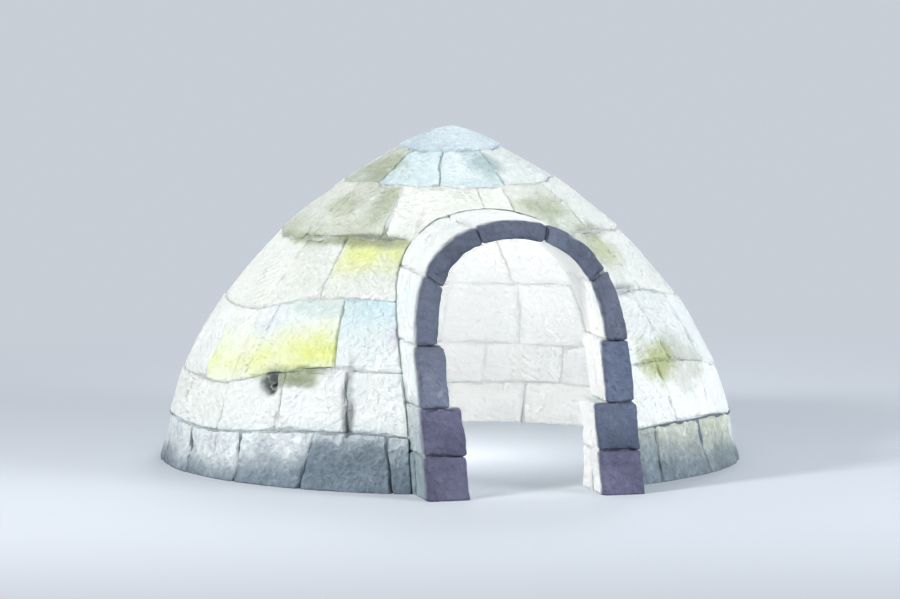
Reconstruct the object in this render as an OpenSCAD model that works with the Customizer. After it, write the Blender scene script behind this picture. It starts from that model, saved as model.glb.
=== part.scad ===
// Igloo of snow blocks with a tall arched doorway, seen from the outside and hollow inside.
// The dome follows a hanging chain turned over. Its blocks lie in courses whose beds dip
// towards the inside. In front, the beds of the lower courses climb to the portal, which
// stands proud of the dome and leans back with it. The doorway faces -Y.

/* [Dome] */
// Height of the dome over the ground
dome_h = 3620; // [3400:10:3900]
// Outer radius of the dome near the ground, without the flare of its foot
dome_r = 3140; // [3000:10:3400]
// Fullness of the outline below the crown
crown_power = 1.88; // [1.7:0.01:2.1]
// Fullness of the outline at the shoulder
shoulder_power = 0.754; // [0.7:0.002:0.8]
// Thickness of the wall, square to its face
wall_t = 280; // [200:10:340]
// How far the foot of the wall flares out at the ground
foot_flare = 60; // [0:5:120]
// Height at which the flare of the foot ends
foot_flare_h = 380; // [200:10:480]
// Thickness of the foot course at the ground
foot_t = 400; // [300:10:500]

/* [Courses] */
// Height of the foot course, at its outer edge
foot_course_h = 500; // [420:10:600]
// Height of the second course, where it is level
second_course_h = 500; // [420:10:600]
// Height of the third course, where it is level
third_course_h = 770; // [650:10:850]
// Height of the fourth course, where it is level
fourth_course_h = 730; // [600:10:800]
// Height of the sixth course; the fifth fills what is left under it
sixth_course_h = 340; // [260:10:400]
// Height of the king block over the sixth course's outer edge
king_block_h = 200; // [150:10:260]
// Angle from the doorway of the upright joint between front and side
front_joint_angle = 70; // [60:1:80]
// How far behind that joint the beds start to climb towards the doorway, in degrees
climb_lead_angle = 1; // [0.5:0.5:3]
// Climb of the foot course's bed towards the doorway, in degrees
foot_bed_climb_angle = 7.5; // [0:0.5:9]
// Climb of the second course's bed towards the doorway, in degrees
second_bed_climb_angle = 16.5; // [8:0.5:18]
// Climb of the third course's bed towards the doorway, in degrees
third_bed_climb_angle = 21; // [12:0.5:22]
// Climb of the fourth course's bed towards the doorway, in degrees
fourth_bed_climb_angle = 19; // [10:0.5:20]
// Angle from the doorway of the upright joint between side and back
side_joint_angle = 125; // [115:1:135]
// Shift of the upright joints from one course to the next, in degrees
bond_shift_angle = 8; // [2:1:12]

/* [Portal] */
// Width of the doorway where its arch begins
door_w = 1840; // [1600:10:1900]
// Height of the doorway at its crown
door_h = 2620; // [2450:10:2640]
// Squareness of the doorway's arch
door_power = 7; // [4:0.5:9]
// Thickness of the portal ring at its sides
jamb_t = 270; // [220:5:320]
// Thickness of the portal ring at its crown
crown_t = 210; // [160:5:220]
// Squareness of the portal's outer arch
portal_power = 6; // [4:0.5:7]
// Reach of the portal's foot in front of the dome's axis
portal_reach = 3550; // [3450:10:3700]
// Lean of the portal's face, from upright, in degrees
portal_lean_angle = 19.5; // [15:0.5:22]
// Height of the jamb feet
jamb_foot_h = 930; // [800:10:1050]
// How far the jamb feet step into the doorway
jamb_foot_step = 220; // [140:10:300]
// How far the jambs over their feet step into the doorway
jamb_step = 80; // [40:5:120]
// Height of the springing, where the jambs end and the arch begins
springing_h = 1560; // [1400:10:1650]
// Angle that each block of the arch covers round the middle of the springing
arch_block_angle = 36; // [30:1:40]

/* [Hidden] */
COURSES = ["foot", "second", "third", "fourth"];
HANDS = ["left", "right"];

$fn = 240;
LEFT = -1;
RIGHT = 1;
far = 5000;
band_count = 3;
king_band_count = 5;
arch_step_count = 9;

// Colours of the snow, as the dome glows at dusk
course_colours = [
    [0.66, 0.73, 0.74], [0.90, 0.96, 0.98], [0.76, 0.90, 0.96],
    [0.96, 0.95, 0.76], [0.74, 0.80, 0.76], [0.84, 0.93, 0.98]
];
king_colour = [0.66, 0.85, 0.93];
portal_colour = [0.34, 0.38, 0.50];

// Heights of the courses' outer upper edges, the lower four from the ground and the others from the top
second_top = foot_course_h + second_course_h;
third_top = second_top + third_course_h;
fourth_top = third_top + fourth_course_h;
sixth_top = dome_h - king_block_h;
fifth_top = sixth_top - sixth_course_h;
tops = [foot_course_h, second_top, third_top, fourth_top, fifth_top, sixth_top];
climbs = [
    foot_bed_climb_angle, second_bed_climb_angle, third_bed_climb_angle, fourth_bed_climb_angle
];

// The outline is run through by an angle, 0 at the ground and 90 at the top
function run(z) = asin(pow(z / dome_h, crown_power / 2));
function radius_at(a) = dome_r * pow(cos(a), 2 * shoulder_power);
function height_at(a) = dome_h * pow(sin(a), 2 / crown_power);
function flare_at(z) = z < foot_flare_h ? foot_flare * pow(1 - z / foot_flare_h, 2) : 0;
function outer_point(a) = [radius_at(a) + flare_at(height_at(a)), height_at(a)];

// The inner face lies the wall's thickness inside, square to the outline
function climb_at(a) = dome_h * 2 / crown_power * pow(sin(a), 2 / crown_power - 1) * cos(a);
function draw_in_at(a) = dome_r * 2 * shoulder_power * pow(cos(a), 2 * shoulder_power - 1) * sin(a);
function normal_at(a) = [climb_at(a), draw_in_at(a)] / norm([climb_at(a), draw_in_at(a)]);
function inner_point(a) = [radius_at(a), height_at(a)] - wall_t * normal_at(a);

foot_r = dome_r + foot_flare;
foot_inner = [foot_r - foot_t, 0];
axis_y = (portal_reach - foot_r) / 2;

// Bed 0 is the ground, and bed k is the top of the course below it
function bed_run(k) = k == 0 ? 0 : run(tops[k - 1]);
function wall_runs(first, last) = [
    for (k = [first:last]) for (i = [0:band_count - 1])
        bed_run(k) + (bed_run(k + 1) - bed_run(k)) * i / band_count,
    bed_run(last + 1)
];
function outer_line(first, last) = [for (a = wall_runs(first, last)) outer_point(a)];
function inner_line(first, last) = first > 0
    ? [for (a = wall_runs(first, last)) inner_point(a)]
    : last > 0
        ? concat([foot_inner], inner_line(1, last))
        : [foot_inner, inner_point(bed_run(1))];
function reversed(list) = [for (i = [len(list) - 1:-1:0]) list[i]];
function wall_section(first, last) =
    concat(outer_line(first, last), reversed(inner_line(first, last)));

king_step = (90 - bed_run(6)) / king_band_count;
king_outer = [
    for (i = [0:king_band_count - 1]) outer_point(bed_run(6) + i * king_step),
    [0, dome_h]
];
king_inner = [
    for (i = [0:king_band_count - 2]) inner_point(bed_run(6) + i * king_step),
    [0, dome_h - wall_t]
];

portal_w = door_w + 2 * jamb_t;
portal_h = door_h + crown_t;
climb_start_angle = front_joint_angle + climb_lead_angle;

// The model stands with the middle of its footprint on the origin
module placed() {
    translate([0, axis_y, 0])
        children();
}

// Angles run from the doorway, positive to the right as the dome is faced
module swept(from, to) {
    rotate([0, 0, from - 90])
        rotate_extrude(angle = to - from)
            children();
}

// A level stretch of one course between two angles
module level_segment(k, from, to) {
    swept(min(from, to), max(from, to))
        polygon(wall_section(k, k));
}

// Everything below bed k, where it climbs towards the doorway on one hand.
// It keeps the dip that the level bed has where the climb starts.
module below_climbing_bed(k, hand) {
    outer = outer_point(bed_run(k));
    inner = inner_point(bed_run(k));
    dip = atan2(outer.y - inner.y, outer.x - inner.x);
    rotate([0, 0, hand * climb_start_angle - 90])
        translate([outer.x, 0, outer.y])
            rotate([0, -dip, 0])
                rotate([-hand * climbs[k - 1], 0, 0])
                    translate([-far, -far, -2 * far])
                        cube(2 * far);
}

// An arch with upright feet, whose outline fills out to a square as its power rises
module arch_outline(w, h, power) {
    right = [
        for (i = [0:arch_step_count])
            [w / 2 * cos(i * 90 / arch_step_count), h * pow(sin(i * 90 / arch_step_count), 2 / power)]
    ];
    left = [for (i = [arch_step_count - 1:-1:0]) [-right[i].x, right[i].y]];
    polygon(concat(right, left));
}

module portal_outline() {
    arch_outline(portal_w, portal_h, portal_power);
}

module ring_outline() {
    difference() {
        portal_outline();
        arch_outline(door_w, door_h, door_power);
    }
}

// The right half of what lies between two heights
module slab(low, high) {
    translate([0, low])
        square([portal_w, high - low]);
}

// An outline seen from the front, carried from the dome's axis out past the portal
module along_doorway() {
    rotate([90, 0, 0])
        linear_extrude(far)
            children();
}

module portal_prism() {
    along_doorway()
        portal_outline();
}

// The stretch of a course beside or over the portal, from the doorway's axis to the side
module front_segment(k, hand) {
    difference() {
        intersection() {
            swept(min(0, hand * front_joint_angle), max(0, hand * front_joint_angle))
                polygon(wall_section(0, 4));
            if (k < 4)
                below_climbing_bed(k + 1, hand);
        }
        if (k > 0)
            below_climbing_bed(k, hand);
        portal_prism();
    }
}

// Everything in front of the portal's leaning face
module before_portal() {
    translate([0, -portal_reach, 0])
        rotate([-portal_lean_angle, 0, 0])
            translate([-far, -2 * far, -far])
                cube(2 * far);
}

// The hollow of the dome, down through the ground
module dome_hollow() {
    hollow = concat([[0, -far], [foot_inner.x, -far]], inner_line(0, 5));
    rotate_extrude()
        polygon(concat(hollow, [for (i = [1:len(king_inner) - 1]) king_inner[i]]));
}

// A block of the portal, from its outline seen from the front
module portal_block(hand) {
    color(portal_colour)
        placed()
            mirror([hand == LEFT ? 1 : 0, 0, 0])
                difference() {
                    along_doorway()
                        children();
                    before_portal();
                    dome_hollow();
                }
}

// The part of the ring between two angles round the middle of the springing
module arch_sector(from, to) {
    middle = (from + to) / 2;
    intersection() {
        ring_outline();
        translate([0, springing_h])
            polygon([[0, 0], for (a = [from, middle, to]) far * [cos(a), sin(a)]]);
    }
}

// A jamb between two heights has the ring's outer edge, and steps into the doorway
module jamb_block(hand, low, high, step) {
    portal_block(hand)
        intersection() {
            portal_outline();
            slab(low, high);
            translate([door_w / 2 - step, 0])
                square(portal_w);
        }
}

module portal_foot(hand) {
    jamb_block(hand, 0, jamb_foot_h, jamb_foot_step);
}

module portal_jamb(hand) {
    jamb_block(hand, jamb_foot_h, springing_h, jamb_step);
}

module portal_haunch(hand) {
    portal_block(hand)
        arch_sector(0, arch_block_angle);
}

module portal_shoulder(hand) {
    portal_block(hand)
        arch_sector(arch_block_angle, 2 * arch_block_angle);
}

module portal_crown() {
    portal_block(RIGHT)
        arch_sector(2 * arch_block_angle, 180 - 2 * arch_block_angle);
}

// Upright joints shift to one hand on one course and to the other on the next
function shift(k) = (k % 2 == 0 ? 1 : -1) * bond_shift_angle / 2;

module course_front(k, hand) {
    color(course_colours[k])
        placed()
            front_segment(k, hand);
}

module course_side(k, hand) {
    color(course_colours[k])
        placed()
            level_segment(k, hand * front_joint_angle, hand * (side_joint_angle + shift(k)));
}

module course_back(k, hand) {
    from = k < 4 ? side_joint_angle + shift(k) : front_joint_angle;
    color(course_colours[k])
        placed()
            level_segment(k, hand * from, hand * 180 + shift(k));
}

// The sixth course is too short for a climb, and lies in three equal stretches
module sixth_course(i) {
    third = 360 / 3;
    color(course_colours[5])
        placed()
            difference() {
                level_segment(5, (i - 0.5) * third, (i + 0.5) * third);
                portal_prism();
            }
}

module king_block() {
    color(king_colour)
        placed()
            rotate_extrude()
                polygon(concat(king_outer, reversed(king_inner)));
}

course_front(0, LEFT);  // foot_course_front_left
course_front(0, RIGHT);  // foot_course_front_right
course_side(0, LEFT);  // foot_course_side_left
course_side(0, RIGHT);  // foot_course_side_right
course_back(0, LEFT);  // foot_course_back_left
course_back(0, RIGHT);  // foot_course_back_right
course_front(1, LEFT);  // second_course_front_left
course_front(1, RIGHT);  // second_course_front_right
course_side(1, LEFT);  // second_course_side_left
course_side(1, RIGHT);  // second_course_side_right
course_back(1, LEFT);  // second_course_back_left
course_back(1, RIGHT);  // second_course_back_right
course_front(2, LEFT);  // third_course_front_left
course_front(2, RIGHT);  // third_course_front_right
course_side(2, LEFT);  // third_course_side_left
course_side(2, RIGHT);  // third_course_side_right
course_back(2, LEFT);  // third_course_back_left
course_back(2, RIGHT);  // third_course_back_right
course_front(3, LEFT);  // fourth_course_front_left
course_front(3, RIGHT);  // fourth_course_front_right
course_side(3, LEFT);  // fourth_course_side_left
course_side(3, RIGHT);  // fourth_course_side_right
course_back(3, LEFT);  // fourth_course_back_left
course_back(3, RIGHT);  // fourth_course_back_right
course_front(4, LEFT);  // fifth_course_front_left
course_front(4, RIGHT);  // fifth_course_front_right
course_back(4, LEFT);  // fifth_course_back_left
course_back(4, RIGHT);  // fifth_course_back_right
sixth_course(0);  // sixth_course_front
sixth_course(-1);  // sixth_course_back_left
sixth_course(1);  // sixth_course_back_right
king_block();
portal_foot(LEFT);  // portal_foot_left
portal_foot(RIGHT);  // portal_foot_right
portal_jamb(LEFT);  // portal_jamb_left
portal_jamb(RIGHT);  // portal_jamb_right
portal_haunch(LEFT);  // portal_haunch_left
portal_haunch(RIGHT);  // portal_haunch_right
portal_shoulder(LEFT);  // portal_shoulder_left
portal_shoulder(RIGHT);  // portal_shoulder_right
portal_crown();
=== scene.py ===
import math

import bmesh
import bpy
import numpy as np
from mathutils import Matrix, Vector


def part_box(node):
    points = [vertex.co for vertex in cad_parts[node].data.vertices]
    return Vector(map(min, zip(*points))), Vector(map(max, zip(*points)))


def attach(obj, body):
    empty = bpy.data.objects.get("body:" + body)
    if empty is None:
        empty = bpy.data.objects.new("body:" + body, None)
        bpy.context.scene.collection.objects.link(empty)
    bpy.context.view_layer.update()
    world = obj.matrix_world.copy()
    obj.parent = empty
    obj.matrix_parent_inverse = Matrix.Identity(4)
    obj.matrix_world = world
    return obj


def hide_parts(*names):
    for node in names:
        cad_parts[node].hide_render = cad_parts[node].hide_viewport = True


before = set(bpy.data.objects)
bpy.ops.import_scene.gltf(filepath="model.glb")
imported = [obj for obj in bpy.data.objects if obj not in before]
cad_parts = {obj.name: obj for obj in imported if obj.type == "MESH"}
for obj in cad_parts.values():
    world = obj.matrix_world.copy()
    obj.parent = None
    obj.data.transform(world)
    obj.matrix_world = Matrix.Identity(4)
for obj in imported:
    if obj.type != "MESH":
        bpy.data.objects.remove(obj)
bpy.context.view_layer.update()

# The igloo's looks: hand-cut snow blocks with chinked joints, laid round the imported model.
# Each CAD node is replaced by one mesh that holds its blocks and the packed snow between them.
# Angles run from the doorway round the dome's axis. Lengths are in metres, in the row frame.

LEFT = -1
RIGHT = 1

# Outline, as in the part's source

# The dome's curve, and its wall, which is thicker and flares out at the foot
CROWN_POWER = 1.88
SHOULDER_POWER = 0.754
WALL_T = 0.28
FOOT_T = 0.40
FOOT_FLARE = 0.06
FOOT_FLARE_H = 0.38

# From this angle on the lower beds climb to the doorway: by bed, in degrees
CLIMB_START = 71
CLIMBS = {1: 7.5, 2: 16.5, 3: 21, 4: 19}

# The portal's and the doorway's arch, the portal's lean, and its jambs' steps
PORTAL_POWER = 6
DOOR_W = 1.84
DOOR_H = 2.62
DOOR_POWER = 7
PORTAL_LEAN = math.radians(19.5)
JAMB_FOOT_STEP = 0.22
JAMB_STEP = 0.08

# Where the arch's stones fan out from, and the degrees of each of its lower ones
SPRINGING_H = 1.56
ARCH_BLOCK = 36

HANDS = {LEFT: "left", RIGHT: "right"}

# Courses from the ground up, the numbers of two, and that of the king block's bed
COURSES = ["foot", "second", "third", "fourth", "fifth", "sixth"]
FIFTH = 4
SIXTH = 5
KING_BED = 6

# A distance beyond any other, and a length next to none
FAR = 9
TINY = 1e-9

foot_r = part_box("foot_course_side_right")[1].x
dome_r = foot_r - FOOT_FLARE
axis_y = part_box("foot_course_back_right")[1].y - foot_r
dome_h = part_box("king_block")[1].z
tops = [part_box(f"{course}_course_back_left")[1].z for course in COURSES]
portal_w = 2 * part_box("portal_foot_right")[1].x
portal_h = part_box("portal_crown")[1].z
portal_front_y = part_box("portal_foot_right")[0].y
jamb_foot_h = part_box("portal_foot_right")[1].z


def mix(a, b, share):
    """What lies that share of the way from a to b."""
    return a + (b - a) * share


def clamp(values):
    """The values, held between 0 and 1."""
    return np.clip(values, 0, 1)


def run_at(height):
    """The angle that runs through the outline, 0 at the ground and a quarter turn at the top."""
    return np.arcsin(clamp(height / dome_h) ** (CROWN_POWER / 2))


def outline(run):
    """Radius and height of the outer face, without the foot's flare, and its way out."""
    run = np.clip(run, 1e-5, math.pi / 2 - 1e-5)
    sine, cosine = np.sin(run), np.cos(run)
    radius = dome_r * cosine ** (2 * SHOULDER_POWER)
    height = dome_h * sine ** (2 / CROWN_POWER)
    climb = dome_h * 2 / CROWN_POWER * sine ** (2 / CROWN_POWER - 1) * cosine
    draw_in = dome_r * 2 * SHOULDER_POWER * cosine ** (2 * SHOULDER_POWER - 1) * sine
    size = np.hypot(climb, draw_in)
    return radius, height, climb / size, draw_in / size


def skin(run, depth):
    """Radius and height inside the wall; depth runs from 0 at the outer face to 1 at the inner."""
    radius, height, out_r, out_z = outline(run)
    inner_r = radius - WALL_T * out_r
    inner_z = height - WALL_T * out_z
    first_r, first_z, first_out_r, first_out_z = outline(bed_runs[1])
    share = clamp(height / first_z)
    foot_inner_r = mix(foot_r - FOOT_T, first_r - WALL_T * first_out_r, share)
    foot_inner_z = share * (first_z - WALL_T * first_out_z)
    in_foot = run < bed_runs[1]
    inner_r = np.where(in_foot, foot_inner_r, inner_r)
    inner_z = np.where(in_foot, foot_inner_z, inner_z)
    outer_r = radius + FOOT_FLARE * np.clip(1 - height / FOOT_FLARE_H, 0, None) ** 2
    return mix(outer_r, inner_r, depth), mix(height, inner_z, depth)


bed_runs = [0.0] + [float(run_at(top)) for top in tops]

# Beds: the lower ones climb to the portal, and all are cut by hand

# The angles run past the joint behind on both sides, four to a degree
BED_ANGLES = np.linspace(-190, 190, 1521)
# A climbing bed bends to level over this many degrees
BED_BEND = 4
# How far hand-cut beds leave their line, and the king block's rim leaves a circle
BED_WOBBLE = 0.007
KING_WOBBLE = 0.003
KING_FACETS = 0.006
KING_SIDES = 5
# Rounds after which the beds and the arches lie where they should
SOLVE_ROUNDS = 40


def bed_line(bed):
    """The run at which a bed meets the outer face, for each of the bed angles."""
    first_r, first_z = skin(bed_runs[bed], 0)
    inner_r, inner_z = skin(bed_runs[bed], 1)
    behind = CLIMB_START - np.abs(BED_ANGLES)
    behind = np.radians((behind + np.hypot(behind, BED_BEND)) / 2)
    height = np.full(len(BED_ANGLES), float(first_z))
    if bed in CLIMBS:
        climb = math.radians(CLIMBS[bed])
        dip = math.atan2(first_z - inner_z, first_r - inner_r)
        for _ in range(SOLVE_ROUNDS):
            radius = skin(run_at(height), 0)[0]
            level = math.tan(dip) * (radius * np.cos(behind) - first_r)
            rise = math.tan(climb) / math.cos(dip) * radius * np.sin(behind)
            height = mix(height, first_z + level + rise, 0.5)
    turn = np.radians(BED_ANGLES)
    wobble = np.sin(3 * turn + 2.1 * bed) + np.sin(8 * turn + bed)
    wobble = wobble + 0.7 * np.sin(17 * turn + 4 * bed)
    height = height + (KING_WOBBLE if bed == KING_BED else BED_WOBBLE) * wobble
    if bed == KING_BED:
        height = height + KING_FACETS * np.cos(KING_SIDES * turn + 0.5)
    return run_at(height)


bed_lines = {bed: bed_line(bed) for bed in range(1, KING_BED + 1)}
bed_lines[0] = np.zeros(len(BED_ANGLES))


def bed_at(bed, angle):
    """The run at which a bed meets the outer face, at any angle."""
    return np.interp(angle, BED_ANGLES, bed_lines[bed])


# Portal outline

# No part of an arch lies farther from the middle of the springing
MOST_REACH = 4.0


def portal_half(height):
    """Half the portal's width at a height."""
    share = (np.clip(height, 0, None) / portal_h) ** PORTAL_POWER
    return portal_w / 2 * np.sqrt(clamp(1 - share))


def portal_top(x, front):
    """Height of the portal's outer arch over a place beside the middle; far down away from it."""
    share = 1 - (2 * np.abs(x) / portal_w) ** 2
    top = portal_h * np.clip(share, 0, None) ** (1 / PORTAL_POWER)
    return np.where((share > 0) & front, top, -FAR)


def ray_reach(angle, width, rise, power):
    """How far an arch lies from the middle of the springing, along a ray at that angle."""
    near = np.zeros_like(angle)
    far = np.full_like(angle, MOST_REACH)
    for _ in range(SOLVE_ROUNDS):
        reach = (near + far) / 2
        x = reach * np.cos(angle)
        z = SPRINGING_H + reach * np.sin(angle)
        outside = np.abs(2 * x / width) ** 2 + (z / rise) ** power > 1
        near = np.where(outside, near, reach)
        far = np.where(outside, reach, far)
    return near


# The dome's inner face, at which the portal's blocks end
inner_runs = np.linspace(0, math.pi / 2, 1200)
inner_face_r, inner_face_z = skin(inner_runs, np.ones_like(inner_runs))


def portal_back_y(x, z):
    """How far back the portal's blocks reach at a place beside the middle and a height."""
    radius = np.interp(z, inner_face_z, inner_face_r)
    return axis_y - np.sqrt(np.clip(radius ** 2 - x ** 2, 0.01, None))


# Noise and colour


def noise(points, scale, seed):
    """Smooth noise from -1 to 1. The scale is the number of its cells in a metre."""
    places = points * scale + np.array([0.37, 0.71, 0.13]) * (seed % 97)
    cells = np.floor(places).astype(np.int64)
    shares = places - cells
    shares = shares * shares * (3 - 2 * shares)
    total = np.zeros(len(points))
    for corner in range(8):
        step = np.array([corner & 1, corner >> 1 & 1, corner >> 2])
        x, y, z = (cells + step).T
        # Large odd numbers turn each corner's place into a value of its own
        mixed = (x * 73856093 ^ y * 19349663 ^ z * 83492791 ^ int(seed) * 40503) & 0xFFFFFFFF
        mixed = (mixed ^ mixed >> 15) * 2246822519 & 0xFFFFFFFF
        mixed = (mixed ^ mixed >> 13) * 3266489917 & 0xFFFFFFFF
        value = (mixed >> 8 & 0xFFFF) / 32767.5 - 1
        total += value * np.where(step, shares, 1 - shares).prod(1)
    return total


def linear(*colour):
    """A colour as seen on a screen, turned into the light it stands for."""
    colour = np.array(colour)
    return np.where(colour < 0.04045, colour / 12.92, ((colour + 0.055) / 1.055) ** 2.4)


# Each course's snow as seen outside. The foot's dark blue-grey is painted shade: snow that the light
# from inside does not come through
SNOW = {
    "foot": linear(0.50, 0.56, 0.61),
    "second": linear(0.97, 0.985, 0.975),
    "third": linear(0.96, 0.98, 0.975),
    "fourth": linear(0.965, 0.98, 0.965),
    "fifth": linear(0.955, 0.97, 0.95),
    "sixth": linear(0.91, 0.94, 0.935),
    "king": linear(0.86, 0.92, 0.95),
}
# Inside faces are painted lit: a warm near-white, lit by the room's lamp
INSIDE_SNOW = linear(0.975, 0.975, 0.965)
JOINT_SNOW = linear(0.86, 0.89, 0.895)
# Olive: partly painted shade, where less light comes through or shade falls in grooves, partly dirtier
# snow
OLIVE_SHADE_AND_DIRT = linear(0.66, 0.70, 0.57)
# Painted light: warm lamplight shining through thicker snow, low on the left of the third and fourth
# courses
LAMPLIGHT_YELLOW = linear(0.93, 0.955, 0.64)
ICE = linear(0.84, 0.94, 0.965)
# Painted light on the foot's upper part and its top joint, where light from inside comes through: pale
# and full
PALE_LIT = linear(0.87, 0.905, 0.92)
FOOT_LIT = linear(0.94, 0.97, 0.975)
ROSE = linear(0.92, 0.87, 0.93)
LAVENDER = linear(0.81, 0.85, 0.92)
TEAL = linear(0.60, 0.71, 0.73)
# Painted shade in an eroded upright joint and in a pit on the right
GROOVE_SHADE = linear(0.44, 0.48, 0.50)
# Painted shadow deep in the hole where packed snow has fallen out of a joint
HOLE_SHADOW = linear(0.36, 0.39, 0.39)
OCHRE = linear(0.71, 0.745, 0.50)
# Olive-grey: partly painted shade in pits, grooves and beside the doorway, partly stained snow
SHADE_AND_STAIN = linear(0.58, 0.61, 0.50)
SEA = linear(0.82, 0.89, 0.87)
# Painted light, dimmer, on the upper part of the foot's blocks on the right
DIM_LIT = linear(0.88, 0.90, 0.84)

# How strongly lit snow glows: by course, inside the dome, and on the doorway's sides
GLOWS = {"foot": 0.1, "second": 1.0, "third": 0.95, "fourth": 0.85, "fifth": 0.75, "sixth": 0.55}
KING_GLOW = 0.5
INSIDE_GLOW = 2.35
REVEAL_GLOW = 0.8

# Tints of single blocks, by course, hand and number of their far joint: the colour, and its
# strength at the block's foot, a quarter up, halfway, three quarters up and at its head
TINT_STEPS = [0, 0.25, 0.5, 0.75, 1]
# The foot's blocks are painted lit towards their heads, where light from inside comes through
FOOT_LIT_UPPER = (FOOT_LIT, [0, 0.25, 0.8, 1, 1])
BLOCK_TINTS = {
    ("third", LEFT, 0): (ICE, [0.05, 0.08, 0.25, 0.6, 0.95]),
    # Painted lamplight, yellow, on the left of the third and fourth courses
    ("third", LEFT, 1): (LAMPLIGHT_YELLOW, [0.5, 1, 0.5, 0.03, 0]),
    ("third", LEFT, 2): (LAMPLIGHT_YELLOW, [0.3, 0.6, 0.45, 0.12, 0]),
    ("fourth", LEFT, 0): (LAMPLIGHT_YELLOW, [0, 0.05, 0.45, 0.85, 0.6]),
    # Olive on the upper courses: partly painted shade, partly dirtier snow
    ("fourth", LEFT, 1): (OLIVE_SHADE_AND_DIRT, [0, 0, 0, 0.08, 0.4]),
    ("fourth", RIGHT, 0): (OLIVE_SHADE_AND_DIRT, [0, 0.05, 0.2, 0.42, 0.48]),
    ("fifth", LEFT, 1): (OLIVE_SHADE_AND_DIRT, [0.46, 0.38, 0.3, 0.32, 0.42]),
    ("fifth", LEFT, 2): (OLIVE_SHADE_AND_DIRT, [0.55, 0.38, 0.2, 0.1, 0.1]),
    ("fifth", RIGHT, 1): (OLIVE_SHADE_AND_DIRT, [0.45, 0.4, 0.34, 0.3, 0.3]),
    ("sixth", LEFT, 1): (OLIVE_SHADE_AND_DIRT, [0.6, 0.6, 0.58, 0.54, 0.5]),
    ("sixth", LEFT, 2): (OLIVE_SHADE_AND_DIRT, [0.4, 0.38, 0.35, 0.32, 0.3]),
    ("sixth", RIGHT, 1): (ICE, [0.55, 0.6, 0.65, 0.7, 0.75]),
    ("sixth", RIGHT, 2): (ICE, [0.55, 0.5, 0.45, 0.4, 0.35]),
    # The foot's own blocks: painted light that grows towards their heads
    ("foot", LEFT, 0): (PALE_LIT, [0, 0.05, 0.1, 0.28, 0.95]),
    ("foot", LEFT, 1): (PALE_LIT, [0, 0.03, 0.06, 0.25, 0.95]),
    ("foot", LEFT, 2): (FOOT_LIT, [0, 0.06, 0.4, 0.95, 1]),
    ("foot", RIGHT, 0): (DIM_LIT, [0, 0.05, 0.15, 0.42, 0.65]),
    ("foot", RIGHT, 1): (DIM_LIT, [0.05, 0.12, 0.35, 0.68, 0.95]),
    ("foot", RIGHT, 2): (DIM_LIT, [0.08, 0.22, 0.52, 0.85, 1]),
}


def on_bed(bed, angle):
    """Height of a bed on the outer face."""
    return float(skin(bed_at(bed, angle), 0)[1])


# Bits of packed snow that have fallen out of a joint: angle, height, half width, half height, depth
PITS = [
    (-57, on_bed(2, -57) - 0.06, 0.095, 0.08, 0.1),
    (-48, on_bed(2, -48), 0.34, 0.03, 0.045),
    (-37.4, 1.08, 0.028, 0.22, 0.045),
    (-36.1, 0.76, 0.034, 0.22, 0.055),
    (-41, on_bed(4, -41), 0.34, 0.03, 0.035),
    (-70, on_bed(4, -70), 0.3, 0.028, 0.035),
    (38, on_bed(3, 38), 0.15, 0.036, 0.05),
    (44, on_bed(4, 44), 0.26, 0.03, 0.035),
]

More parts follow.
